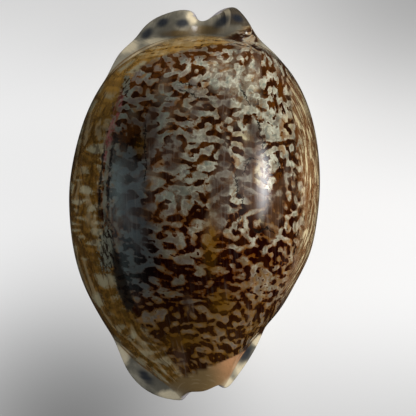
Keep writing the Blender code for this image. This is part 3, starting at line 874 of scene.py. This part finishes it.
class Enamel(Nodes):
    """The layers of the shell's enamel, each laid over the one before it."""

    def __init__(self, tree, finish):
        super().__init__(tree)
        self.finish = finish
        self.around, self.along, self.mantle = (self.read(name) for name in ("around", "along", "mantle"))
        self.on_shell = self.vector(self.around, self.along)
        self.clouds = self.noise(self.on_shell, 0.20, 2.0, 0.5)
        self.mottle = self.noise(self.on_shell, 0.8, 3.0, 0.6)
        self.specks = self.noise(self.on_shell, 1.9, 2.0, 0.6)
        self.grain = self.noise(self.on_shell, 5.0, 2.0, 0.6)
        self.streaks = self.noise(self.stretched(0.55, 0.05), 1.0, 3.0, 0.6)
        self.rough = self.noise(self.on_shell, 1.5, 4.0, 0.7, 0.8)
        self.wander = self.centred(self.mottle, 6.0)
        self.foot = (self.along + self.wander * 2.0).step(-14.0, -26.0)

    def read(self, name):
        """An attribute of the surface."""
        return self.add("ShaderNodeAttribute", attribute_name=name, output=2)

    def named(self, colour):
        """The finish's colour of that name, or the colour itself."""
        return getattr(self.finish, colour) if isinstance(colour, str) else colour

    def coats(self, base, *coats):
        """Lays coats over a base in turn, each given as its share and its colour."""
        base = self.named(base)
        for share, coat in coats:
            base = self.colour(share, base, self.named(coat))
        return base

    def stretched(self, round_scale, along_scale):
        """Where a point lies on the shell, scaled apart round it and along it."""
        return self.vector(self.around * round_scale, self.along * along_scale)

    def centred(self, noise, size):
        """A noise that wavers round 0 by about that size."""
        return (noise - 0.5) * size

    def shifted(self, name, noise, size):
        """An attribute whose edges a noise makes uneven."""
        return self.read(name) + self.centred(noise, size)

    def ground(self):
        """Pale on the upper right, greyer and dimmer towards the left and below, with stains."""
        netted, mottle = self.read("netted"), self.mottle
        pale = self.mantle.step(8.0, 24.0) * self.along.step(-20.0, 2.0)
        pale = self.most(pale, self.along.step(20.5, 26.0) * self.mantle.step(4.0, 12.0))
        lilac = self.noise(self.on_shell, 0.33, 2.0, 0.5, 0.3).step(0.48, 0.60)
        below = (self.along + self.wander).step(6.0, -12.0)
        wash = self.along.step(-1.0, -11.0) * self.mantle.step(11.0, 20.0)
        furthest = netted.step(-0.7, -1.3) * mottle.step(0.4, 0.55) * 0.55
        mint = netted.step(-2.4, -0.3) * mottle.step(0.42, 0.58)
        stain = self.noise(self.on_shell, 0.45, 2.0, 0.5, 0.5).step(0.56, 0.68)
        fine = self.noise(self.stretched(2.6, 0.25), 1.0, 2.0, 0.5).step(0.35, 0.70, 0.0, 0.25)
        return self.coats(
            "cool_ground",
            (self.clouds.step(0.40, 0.60), "grey_ground"),
            (lilac * 0.7, "lilac_ground"),
            (pale * mottle.step(0.34, 0.58), "pale_ground"),
            (below * 0.65, "low_ground"),
            (wash * self.clouds.step(0.36, 0.56, 0.2, 0.6), "golden_ground"),
            (self.foot * netted.step(-1.5, -0.6, 0.10, 0.75), "golden_ground"),
            (furthest * (1 - pale * 0.6), "lilac_ground"),
            (self.noise(self.on_shell, 0.8, 3.0, 0.6, 0.3).step(0.46, 0.66, 0.0, 0.5), "veiled_ground"),
            (mint * (pale * 0.7 + 0.15), "mint"),
            (stain * 0.7, "ochre"),
            (fine, "lilac_ground"),
        )

    def older_pigment(self, ground):
        """Older strokes under a milky coat and a painted sheen, amber that bleeds from the newer ones, and
        painted highlight smudges on the right, where the key light's reflection falls.
        """
        veil = self.read("veil")
        ghost = self.shifted("ghost", self.mottle, 0.8).step(-0.1, 1.0) * (veil * 0.45 + 0.22)
        bleeding = self.read("bleed").step(-0.5, 0.5) * self.clouds.step(0.40, 0.54)
        bleeding = bleeding * self.along.step(8.0, -6.0, 0.35, 0.9)
        return self.coats(
            ground,
            (veil * 0.7, "veiled_ground"),
            (ghost, "veiled_pigment"),
            (self.most(bleeding, self.read("honey") * 0.75), "bleeding"),
            # Painted highlight: an ochre tint and cream smudges where the key light's reflection falls.
            (self.read("glow").step(0.1, 0.45) * 0.35, "ochre"),
            (self.shifted("glow", self.specks, 0.6).step(0.40, 1.0, 0.0, 0.7), "glow"),
        )

    def slate_share(self):
        """Where strokes and ground turn to slate, beside the mantle line."""
        slate = self.read("slate") * self.mantle.step(0.3, 1.2)
        return (slate + self.centred(self.mottle, 0.5)).step(0.25, 0.65)

    def netting(self, ground):
        """Dark strokes with amber rims, blurred and dimmer under the milky coat and the painted sheen."""
        veil, slate, foot = self.read("veil"), self.slate_share(), self.foot
        netted = self.read("netted") + (self.centred(self.specks, 1.5) + self.centred(self.mottle, 1.5))
        strength = self.read("strength").step(-1.5, -0.2, 0.35, 1.0)
        strength = self.most(strength, self.along.step(0.0, -8.0))
        strength = self.most(strength, self.mantle.step(22.0, 27.0))
        lower = (self.along + self.wander).step(9.0, -9.0)
        softer = self.most(veil * 0.45, slate * 0.25) + lower * 0.02
        self.rim = netted.step(-0.17 - softer, softer + 0.04) * strength
        core = netted.step(-0.04, 0.46) * (1 - foot * 0.15)
        worn = self.noise(self.on_shell, 0.35, 2.0, 0.6).step(0.46, 0.62, 0.0, 0.5) * (1 - lower * 0.85)
        worn = self.most(worn, self.along.step(22.0, 29.0, 0.0, 0.40))
        stroke = self.coats("brown_pigment", (lower, "dark_pigment"), (worn, "amber_pigment"))
        amber = self.coats("amber_pigment", (lower * 0.65, "dark_amber"), (foot * 0.6, "golden_pigment"))
        stroke = self.coats(amber, (core, stroke), (slate * 0.75, "slate"), (veil * 0.65, "veiled_pigment"))
        seep = self.shifted("seep", self.specks, 0.5).step(-0.75, 0.15)
        seep = seep * lower.step(0.0, 1.0, 0.40, 0.7) * (1 - slate * 0.8) * (1 - veil * 0.6)
        honey = self.shifted("honey", self.mottle, 1.2).step(0.35, 0.9, 0.0, 0.6)
        return self.coats(
            ground,
            # Blue grey ground beside the mantle line, partly a painted reflection of the cool strip light.
            (slate * 0.8, "slate_ground_and_reflection"),
            (seep, amber),
            (self.rim * (1 - veil * 0.2), stroke),
            (honey * (1 - core * 0.6), "bleeding"),
        )

    def sides(self, enamel):
        """The golden sides: pale ovals with lines round them, and growth lines along the margins."""
        left = (self.mantle + self.wander * 0.5).step(0.7, -0.9)
        right = self.shifted("right_margin", self.mottle, 4.0).step(-1.6, 0.8)
        roughly = self.along + self.wander * 1.5
        right = right * roughly.step(-19.5, -15.0) * roughly.step(25.5, 21.5)
        on_right = self.mantle.step(22.0, 28.0)
        off_lines = ((2, self.read("left_share") * 17.0), (3, self.read("right_share") * 7.0))
        off_line = self.add("ShaderNodeMix", (0, on_right), *off_lines, data_type="FLOAT")
        flow, wobble = self.read("flow"), self.centred(self.specks, 0.5)
        cell_x = off_line * (on_right * 0.04 + 0.52)
        cell_y = flow * (0.54 - on_right * 0.22)
        place = ("Vector", self.vector(cell_x + wobble, cell_y + wobble))
        cells = self.add("ShaderNodeTexVoronoi", place, ("Scale", 1.0), feature="DISTANCE_TO_EDGE")
        fine = self.vector(off_line * 0.8, flow * (on_right * 0.15 + 0.12))
        fine = self.noise(fine, 1.0, 3.0, 0.6, 0.4)
        present = (self.clouds + self.along * 0.006).step(0.36, 0.50, 0.7, 1.0)
        ring = cells.step(0.085, 0.03, 0.0, 0.7) * present
        lines = self.most(abs(fine - 0.5).step(0.03, 0.01), ring)
        lines = self.most(lines, abs(fine - 0.42).step(0.025, 0.008) * on_right)
        golden = self.coats(
            "golden_ground",
            (self.mottle.step(0.35, 0.62), "golden_pigment"),
            (on_right * fine.step(0.35, 0.55, 0.5, 1.0), "tan"),
            (self.rim * 0.08, "golden_stroke"),
            (self.along.step(12.0, 20.0) * (1 - on_right) * 0.8, "border_line"),
            (cells.step(0.12, 0.27) * present * 0.9, self.coats("cell", (on_right * 0.6, "cell_bright"))),
            (lines * (on_right * 0.3 + 0.6), self.coats("golden_stroke", (on_right, "amber_line"))),
            (fine.step(0.55, 0.62) * (on_right * 0.75 + 0.25), "cell_bright"),
        )
        off_spire = 1 - self.read("spire")
        return self.coats(enamel, (self.most(left, right) * off_spire, golden), self.border(off_spire))

    def border(self, off_spire):
        """The share and the colour of the back's golden border along the lobes."""
        to_crease = self.read("to_crease")
        share = self.mantle.step(-1.0, 8.5, 5.0, 1.0) - (to_crease + self.centred(self.mottle, 3.0))
        share = share.step(0.0, 2.0) * self.along.step(12.0, 22.0) * off_spire * 0.9
        share = share * self.mantle.step(26.0, 20.0)
        wave = self.noise(self.vector(to_crease * 1.3, self.around * 0.2), 1.0, 3.0, 0.6, 0.5)
        return share, self.coats(
            "border_gold",
            (wave.step(0.47, 0.55), "border_line"),
            (abs(wave - 0.60).step(0.035, 0.01), "golden_stroke"),
            (wave.step(0.42, 0.32, 0.0, 0.8), "cell_bright"),
        )

    def spire(self, enamel, place):
        """The buried spire's swelling: brown strokes on cream, that slant with the shoulder."""
        slanting = (("Vector", place), ("Rotation", (0.0, 0.0, 0.65)), ("Scale", (330, 1000, 500)))
        strokes = self.noise(self.add("ShaderNodeMapping", *slanting), 1.0, 2.0, 0.5, 0.3)
        strokes = (strokes.step(0.46, 0.54), "brown_pigment")
        return self.coats(
            enamel,
            (self.read("spire") * 0.9, self.coats("callus", (self.mottle.step(0.40, 0.60), "tan"), strokes)),
        )

    def milk_and_shade(self, enamel):
        """Lengthwise milky streaks, stronger under the painted sheen; darker streaks; painted shade patches
        and a painted shade band across the upper back; and a painted reflection of the cool strip light along
        the mantle line.
        """
        milky = self.noise(self.stretched(2.4, 0.16), 1.0, 2.0, 0.5).step(0.50, 0.75)
        # Painted reflection of the cool strip light along the mantle line, kept off the strokes.
        haze = self.read("haze") * self.mantle.step(0.8, 1.8)
        haze = haze * self.mottle.step(0.25, 0.6, 0.3, 1.0) * self.along.step(-9.0, -3.0, 0.5, 1.0)
        haze = haze * (1 - self.rim * 0.35) * 0.75
        enamel = self.coats(enamel, (milky * (self.read("veil") * 0.12 + 0.03), "milk"), (haze, "haze"))
        # Darker lengthwise streaks, and painted shade patches on the left, in the middle and below.
        shade = self.most(self.streaks.step(0.52, 0.44) * 0.30, self.read("dim_patch") * 0.62)
        # Painted shade: a darker band across the upper back.
        above = self.along.step(3.0, 12.0) * self.along.step(24.0, 19.0) * 0.34
        shade = 1 - (1 - shade) * (1 - above)
        return self.colour(shade, enamel, self.finish.dimness, "MULTIPLY")

    def mantle_line(self, enamel):
        """Twin dark lines with a pale one between them, pink with dark red spots at the upper end."""
        seam = self.mantle + self.centred(self.rough, 1.2)
        upper = self.along.step(6.0, 9.0) * self.along.step(22.0, 17.0)
        pink = seam.step(-0.3, 0.2) * seam.step(1.2, 0.7) * upper * self.mottle.step(0.35, 0.6)
        blood = pink * self.noise(self.on_shell, 0.9, 1.0, 0.4).step(0.56, 0.62)
        between = self.along.step(-4.0, 0.0) * self.along.step(12.0, 9.0)
        pale = seam.step(0.5, 0.8) * seam.step(1.3, 1.0) * between
        tints = (pink * 0.7, "mantle_pink"), (blood * 0.8, "blood"), (pale * 0.7, "crust")
        enamel = self.coats(enamel, *tints)
        twin = self.math("MINIMUM", abs(seam), abs(seam - 1.5))
        return enamel, twin.step(0.34, 0.10) * between * self.mottle.step(0.36, 0.46)

    def crust(self, enamel, twin):
        """Grey crust with black crackle beside the mantle line, and a black wedge lower down."""
        crust = self.shifted("crust", self.rough, 1.6).step(0.5, 0.7) * self.read("crust").step(0.15, 0.35)
        crackle = self.noise(self.vector(self.mantle * 1.5, self.along * 0.45), 1.0, 4.0, 0.7, 0.6)
        crackled = self.coats("crust", (crackle.step(0.48, 0.54), "crack"))
        wedge = self.shifted("wedge", self.rough, 1.4).step(-0.25, 0.35) * self.read("wedge").step(-0.9, -0.3)
        dark = self.most(twin, wedge)
        return self.coats(enamel, (crust * 0.85, crackled), (dark * 0.9, "crack")), dark

    def cracks(self, enamel):
        """Crooked hair cracks."""
        cracked = abs(self.shifted("crack_side", self.specks, 1.3)).step(0.18, 0.05)
        cracked = cracked * self.read("crack_near") * 0.9
        return self.coats(enamel, (cracked, "crack")), cracked

    def bare_roof(self, enamel):
        """The canal's bare roof at the narrow end: orange on the right, olive on the left."""
        lines = self.noise(self.stretched(0.3, 1.6), 1.0, 2.0, 0.6, 0.4)
        roof = self.coats(
            "roof_dark",
            (self.mantle.step(4.0, 11.0), "roof"),
            (self.mottle.step(0.4, 0.7, 0.0, 0.3), "roof_dark"),
            (lines.step(0.56, 0.7, 0.0, 0.12), "cell_bright"),
        )
        return self.coats(enamel, (self.read("roof"), roof))

    def callus(self, enamel, place):
        """Callus with its blurred blue-black spots, the base under it, the teeth and the hollow."""
        base, proud = self.read("base"), self.read("proud")
        waves = self.noise(self.vector(proud * 1.1, self.around * 0.2), 1.0, 2.0, 0.5, 0.9)
        umber = self.read("umber").step(0.2, 0.7)
        margin_spots = self.noise(place, 210.0, 1.0, 0.4).step(0.60, 0.70) * (1 - base) * 0.75
        margin_spots = margin_spots * (1 - self.read("cream")) * abs(self.along).step(33.0, 26.0)
        spots = self.most(margin_spots, self.read("spots").step(0.05, 0.95))
        # A dark line along the crease where the lobes rise from the back.
        crease = abs(proud + 0.2).step(0.35, 0.1) * self.along.step(16.0, 22.0)
        callus = self.coats(
            "callus",
            (self.noise(place, 160.0, 3.0, 0.55).step(0.35, 0.65), "callus_shade"),
            (waves.step(0.5, 0.62, 0.0, 0.35), "callus_shade"),
            (self.shifted("cream", self.mottle, 0.5).step(0.25, 0.75), "cream"),
            (self.read("saddle").step(0.2, 0.8, 0.0, 0.8), "saddle"),
            (umber * waves.step(0.42, 0.50, 0.25, 0.85), "umber"),
            (umber * waves.step(0.60, 0.66, 0.0, 0.4), "cream"),
            (spots * 0.9, "blue_black"),
            (base, "base"),
        )
        return self.coats(
            enamel,
            (self.read("callus"), callus),
            (crease * (1 - base) * 0.7, "golden_stroke"),
            (self.read("gaps").step(0.25, 0.85), "tooth"),
            (self.read("hollow"), "hollow"),
        )

    def relief(self, dark):
        """Growth streaks, ripples on the callus, and pits along the seam and the cracks."""
        ripple = self.noise(self.vector(self.read("proud") * 1.6, self.around * 0.2))
        ripple = ripple * self.read("callus") * (1 - self.read("base")) * 0.5
        height = self.streaks * 0.4 + self.mottle * 0.10 + ripple - dark * 0.2
        return self.add("ShaderNodeBump", ("Height", height), ("Strength", 0.4), ("Distance", 0.0004))


def new_material(name):
    """A new material's nodes, and its surface shader."""
    material = bpy.data.materials.new(name)
    material.use_nodes = True
    return material, material.node_tree.nodes["Principled BSDF"].inputs


def shell_material(finish):
    """The shell's enamel: netted pigment in layers under a gloss, and creamy callus."""
    material, surface = new_material("netted_enamel")
    make = Enamel(material.node_tree, finish)
    place = make.add("ShaderNodeTexCoord", output=3)
    enamel = make.netting(make.older_pigment(make.ground()))
    enamel = make.milk_and_shade(make.sides(enamel))
    enamel, dark = make.crust(*make.mantle_line(enamel))
    enamel, cracked = make.cracks(enamel)
    enamel = make.spire(make.callus(make.bare_roof(enamel), place), place)
    enamel = make.colour(make.grain.step(0.40, 0.75, 0.0, 0.18), enamel, finish.dimness, "MULTIPLY")
    make.put(surface["Base Color"], enamel)
    roughness = make.mottle.step(0.3, 0.8, 0.10, 0.22) + dark * 0.3
    make.put(surface["Roughness"], roughness + make.read("callus") * 0.14)
    surface["Specular IOR Level"].default_value = 0.06
    surface["Coat Weight"].default_value = 0.85
    surface["Coat Roughness"].default_value = 0.05
    make.put(surface["Normal"], make.relief(make.most(dark, cracked)))
    return material


def new_piece(name, mesh, material):
    """An object at the origin that carries the mesh."""
    mesh.materials.append(material)
    piece = bpy.data.objects.new(name, mesh)
    bpy.context.scene.collection.objects.link(piece)
    return piece


def number(name, description, default, **limits):
    """A number that a user can change."""
    return bpy.props.FloatProperty(name=name, description=description, default=default, **limits)


def colour_property(name, description, default):
    """A colour that a user can change."""
    return bpy.props.FloatVectorProperty(
        name=name, description=description, default=default, size=3, min=0.0, max=1.0, subtype="COLOR"
    )


class ShellShape(bpy.types.PropertyGroup):
    """Sizes of the shell's fine forms."""

    crease: number(
        "Crease", "Rounding of the crease between the back and the callus",
        0.0005, min=0.0001, max=0.002, precision=5, unit="LENGTH",
    )
    tooth_pitch: number(
        "Tooth pitch", "Distance from one tooth of a lip to the next",
        0.00205, min=0.001, max=0.004, precision=5, unit="LENGTH",
    )
    tooth_height: number(
        "Tooth height", "How far the teeth stand above the grooves between them",
        0.00075, min=0.0, max=0.0015, precision=5, unit="LENGTH",
    )


class ShellFinish(bpy.types.PropertyGroup):
    """Colours of the enamel and the callus."""

    __annotations__ = {
        name: colour_property(name.replace("_", " ").capitalize(), text, linear(*screen))
        for name, (text, *screen) in COLOURS.items()
    }


class ShellStage(bpy.types.PropertyGroup):
    """Camera, floor and lights."""

    camera_distance: number(
        "Camera distance", "Height of the camera over the shell", 0.6, min=0.2, max=3.0, unit="LENGTH"
    )
    frame_width: number(
        "Frame width", "Width that the picture takes in, at the shell's widest level",
        0.07446, min=0.05, max=0.5, precision=5, unit="LENGTH",
    )
    floor_colour: colour_property("Floor", "Plain pale floor", linear(138, 138, 138))
    floor_glow: number("Floor glow", "Light that comes through the floor paper", 0.74, min=0.0, max=1.0)
    key_power: number("Key light", "Power of the large soft light on the right", 2.1, unit="POWER")
    side_power: number("Side light", "Power of the cool strip light on the left", 0.12, unit="POWER")
    end_power: number("End light", "Power of the low light beyond the broad end", 0.6, unit="POWER")
    sky_strength: number("Sky", "Strength of the even light from all round", 0.36, min=0.0, max=3.0)
    key_gloss: number("Key gloss", "Brightness of the key light in reflections", 16.0, min=0.0)
    side_gloss: number("Side gloss", "Brightness of the cool strip in reflections", 0.24, min=0.0)
    sky_gloss: number("Sky gloss", "Strength of the sky in reflections", 0.007, min=0.0, max=3.0)


class COWRIE_OT_shell(bpy.types.Operator):
    """Build the shell as one closed piece, with its pigment grown on it"""

    bl_idname = "cowrie.shell"
    bl_label = "Cowrie shell"

    def execute(self, context):
        shape, finish = context.scene.cowrie_shape, context.scene.cowrie_finish
        points, share, turn, angle = shell_grid(shape)
        masks = shell_masks(points, share, turn, angle, shape)
        shell = bmesh.new()
        count, width = points.shape[:2]
        layers = {name: shell.verts.layers.float.new(name) for name in masks}
        bmesh.ops.create_grid(shell, x_segments=width - 1, y_segments=count - 1, size=1.0)
        if len(shell.verts) != count * width:
            raise RuntimeError("the grid of the shell has the wrong number of points")
        values = {name: mask.reshape(-1).tolist() for name, mask in masks.items()}
        for k, (vertex, point) in enumerate(zip(shell.verts, points.reshape(-1, 3) * MM)):
            vertex.co = point
            for name, layer in layers.items():
                vertex[layer] = values[name][k]
        bmesh.ops.remove_doubles(shell, verts=shell.verts, dist=MERGE)
        bmesh.ops.recalc_face_normals(shell, faces=shell.faces)
        mesh = bpy.data.meshes.new("shell")
        shell.to_mesh(mesh)
        shell.free()
        mesh.shade_smooth()
        piece = new_piece("shell", mesh, shell_material(finish))
        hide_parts("cowrie_shell")
        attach(piece, "root")
        return {"FINISHED"}


def glow(make, direction, centre, spread):
    """1 towards the centre of a soft oval on the sky, and 0 outside it."""
    off = make.add("ShaderNodeVectorMath", (0, direction), (1, centre), operation="SUBTRACT")
    off = make.add("ShaderNodeVectorMath", (0, off), (1, spread), operation="DIVIDE")
    return make.add("ShaderNodeVectorMath", (0, off), output=1, operation="LENGTH").step(1.0, 0.0)


def studio_sky(stage):
    """Even light from all round, which shows in reflections as dark, a bright window and a cool panel."""
    world = bpy.data.worlds.new("studio")
    world.use_nodes = True
    make = Nodes(world.node_tree)
    sky = world.node_tree.nodes["Background"].inputs
    direction = make.add("ShaderNodeTexCoord", output=0)
    window = glow(make, direction, (0.90, 0.03, 0.44), (0.36, 0.36, 0.17)) * stage.key_gloss
    halo = glow(make, direction, (0.74, 0.06, 0.66), (0.50, 0.56, 0.36)) * (0.040 * stage.key_gloss)
    panel = glow(make, direction, (-0.76, -0.30, 0.46), (0.50, 0.72, 0.46)) * stage.side_gloss
    shine = window + halo + (panel + stage.sky_gloss)
    glossy = make.add("ShaderNodeLightPath", output="Is Glossy Ray")
    strengths = ((0, glossy), (2, stage.sky_strength), (3, shine))
    cool = make.math("GREATER_THAN", panel, 0.02)
    make.put(sky["Color"], make.colour(cool * glossy, (0.97, 0.98, 1.0), (0.72, 0.86, 1.0)))
    make.put(sky["Strength"], make.add("ShaderNodeMix", *strengths, data_type="FLOAT"))
    return world


def area_light(name, place, size_x, size_y, power, colour):
    """A soft rectangular light that faces the shell. Reflections show the sky's window instead."""
    light = bpy.data.lights.new(name, "AREA")
    light.shape = "RECTANGLE"
    light.size, light.size_y = size_x, size_y
    light.energy = power
    light.color = colour
    lamp = bpy.data.objects.new(name, light)
    lamp.location = place
    lamp.rotation_euler = (Vector(place) - Vector(LIGHTS_AIM)).to_track_quat("Z", "Y").to_euler()
    lamp.visible_glossy = False
    bpy.context.scene.collection.objects.link(lamp)


def floor_material(stage):
    """Pale paper, lit from below. Its colour and its glow are painted darker towards the front and back and
    at two corners: painted shade.
    """
    material, surface = new_material("floor_paper")
    make = Nodes(material.node_tree)
    place = make.add("ShaderNodeTexCoord", output=3)
    light = abs(make.add("ShaderNodeSeparateXYZ", (0, place), output=1)).step(0.014, 0.046, 1.0, 0.69)
    # Painted shade at two corners.
    for (x, y), reach, dimmest in (((-0.0223, -0.0422), 0.0412, 0.32), ((0.0437, 0.0401), 0.0448, 0.57)):
        off = make.add("ShaderNodeVectorMath", (0, place), (1, (x, y, 0.0)), operation="DISTANCE", output=1)
        light = light * off.step(reach, 0.0, 1.0, dimmest)
    black, white = (0.0, 0.0, 0.0), (1.0, 1.0, 1.0)
    make.put(surface["Base Color"], make.colour(light, black, tuple(stage.floor_colour)))
    make.put(surface["Emission Color"], make.colour(light, black, white))
    surface["Emission Strength"].default_value = stage.floor_glow
    surface["Roughness"].default_value = 0.9
    surface["Specular IOR Level"].default_value = 0.1
    return material


class COWRIE_OT_stage(bpy.types.Operator):
    """Build the floor, the lights and the camera, which looks straight down on the back"""

    bl_idname = "cowrie.stage"
    bl_label = "Stage"

    def execute(self, context):
        scene, stage = context.scene, context.scene.cowrie_stage
        floor_mesh = bmesh.new()
        bmesh.ops.create_grid(floor_mesh, x_segments=1, y_segments=1, size=1.5)
        mesh = bpy.data.meshes.new("floor")
        floor_mesh.to_mesh(mesh)
        floor_mesh.free()
        floor = new_piece("floor", mesh, floor_material(stage))
        floor.visible_glossy = False

        scene.world = studio_sky(stage)
        scene.view_settings.view_transform = "Standard"
        area_light("key", (0.46, 0.02, 0.215), 0.26, 0.13, stage.key_power, (1.0, 0.97, 0.92))
        area_light("strip", (-0.34, -0.10, 0.22), 0.34, 0.20, stage.side_power, (0.80, 0.90, 1.0))
        area_light("end", (0.10, 0.42, 0.05), 0.26, 0.10, stage.end_power, (1.0, 0.96, 0.90))

        lens = bpy.data.cameras.new("overhead")
        lens.sensor_width = 36.0
        lens.lens = lens.sensor_width * stage.camera_distance / stage.frame_width
        lens.clip_start = 0.01
        camera = bpy.data.objects.new("overhead", lens)
        camera.location = (*CAMERA_OVER, WIDEST_LEVEL + stage.camera_distance)
        scene.collection.objects.link(camera)
        scene.camera = camera
        return {"FINISHED"}


class COWRIE_PT_panel(bpy.types.Panel):
    """The shell's sizes and colours, and what builds them"""

    bl_idname = "COWRIE_PT_panel"
    bl_label = "Cowrie shell"
    bl_space_type = "VIEW_3D"
    bl_region_type = "UI"
    bl_category = "Cowrie"

    def draw(self, context):
        for group in GROUPS:
            box = self.layout.box()
            for name in GROUPS[group].__annotations__:
                box.prop(getattr(context.scene, group), name)
        self.layout.operator(COWRIE_OT_shell.bl_idname)
        self.layout.operator(COWRIE_OT_stage.bl_idname)


GROUPS = {"cowrie_shape": ShellShape, "cowrie_finish": ShellFinish, "cowrie_stage": ShellStage}
CLASSES = (*GROUPS.values(), COWRIE_OT_shell, COWRIE_OT_stage, COWRIE_PT_panel)


def register():
    for kind in CLASSES:
        bpy.utils.register_class(kind)
    for name, group in GROUPS.items():
        setattr(bpy.types.Scene, name, bpy.props.PointerProperty(type=group))


def unregister():
    for name in GROUPS:
        delattr(bpy.types.Scene, name)
    for kind in reversed(CLASSES):
        bpy.utils.unregister_class(kind)


def main():
    register()
    bpy.ops.cowrie.shell()
    bpy.ops.cowrie.stage()


if __name__ == "__main__":
    main()
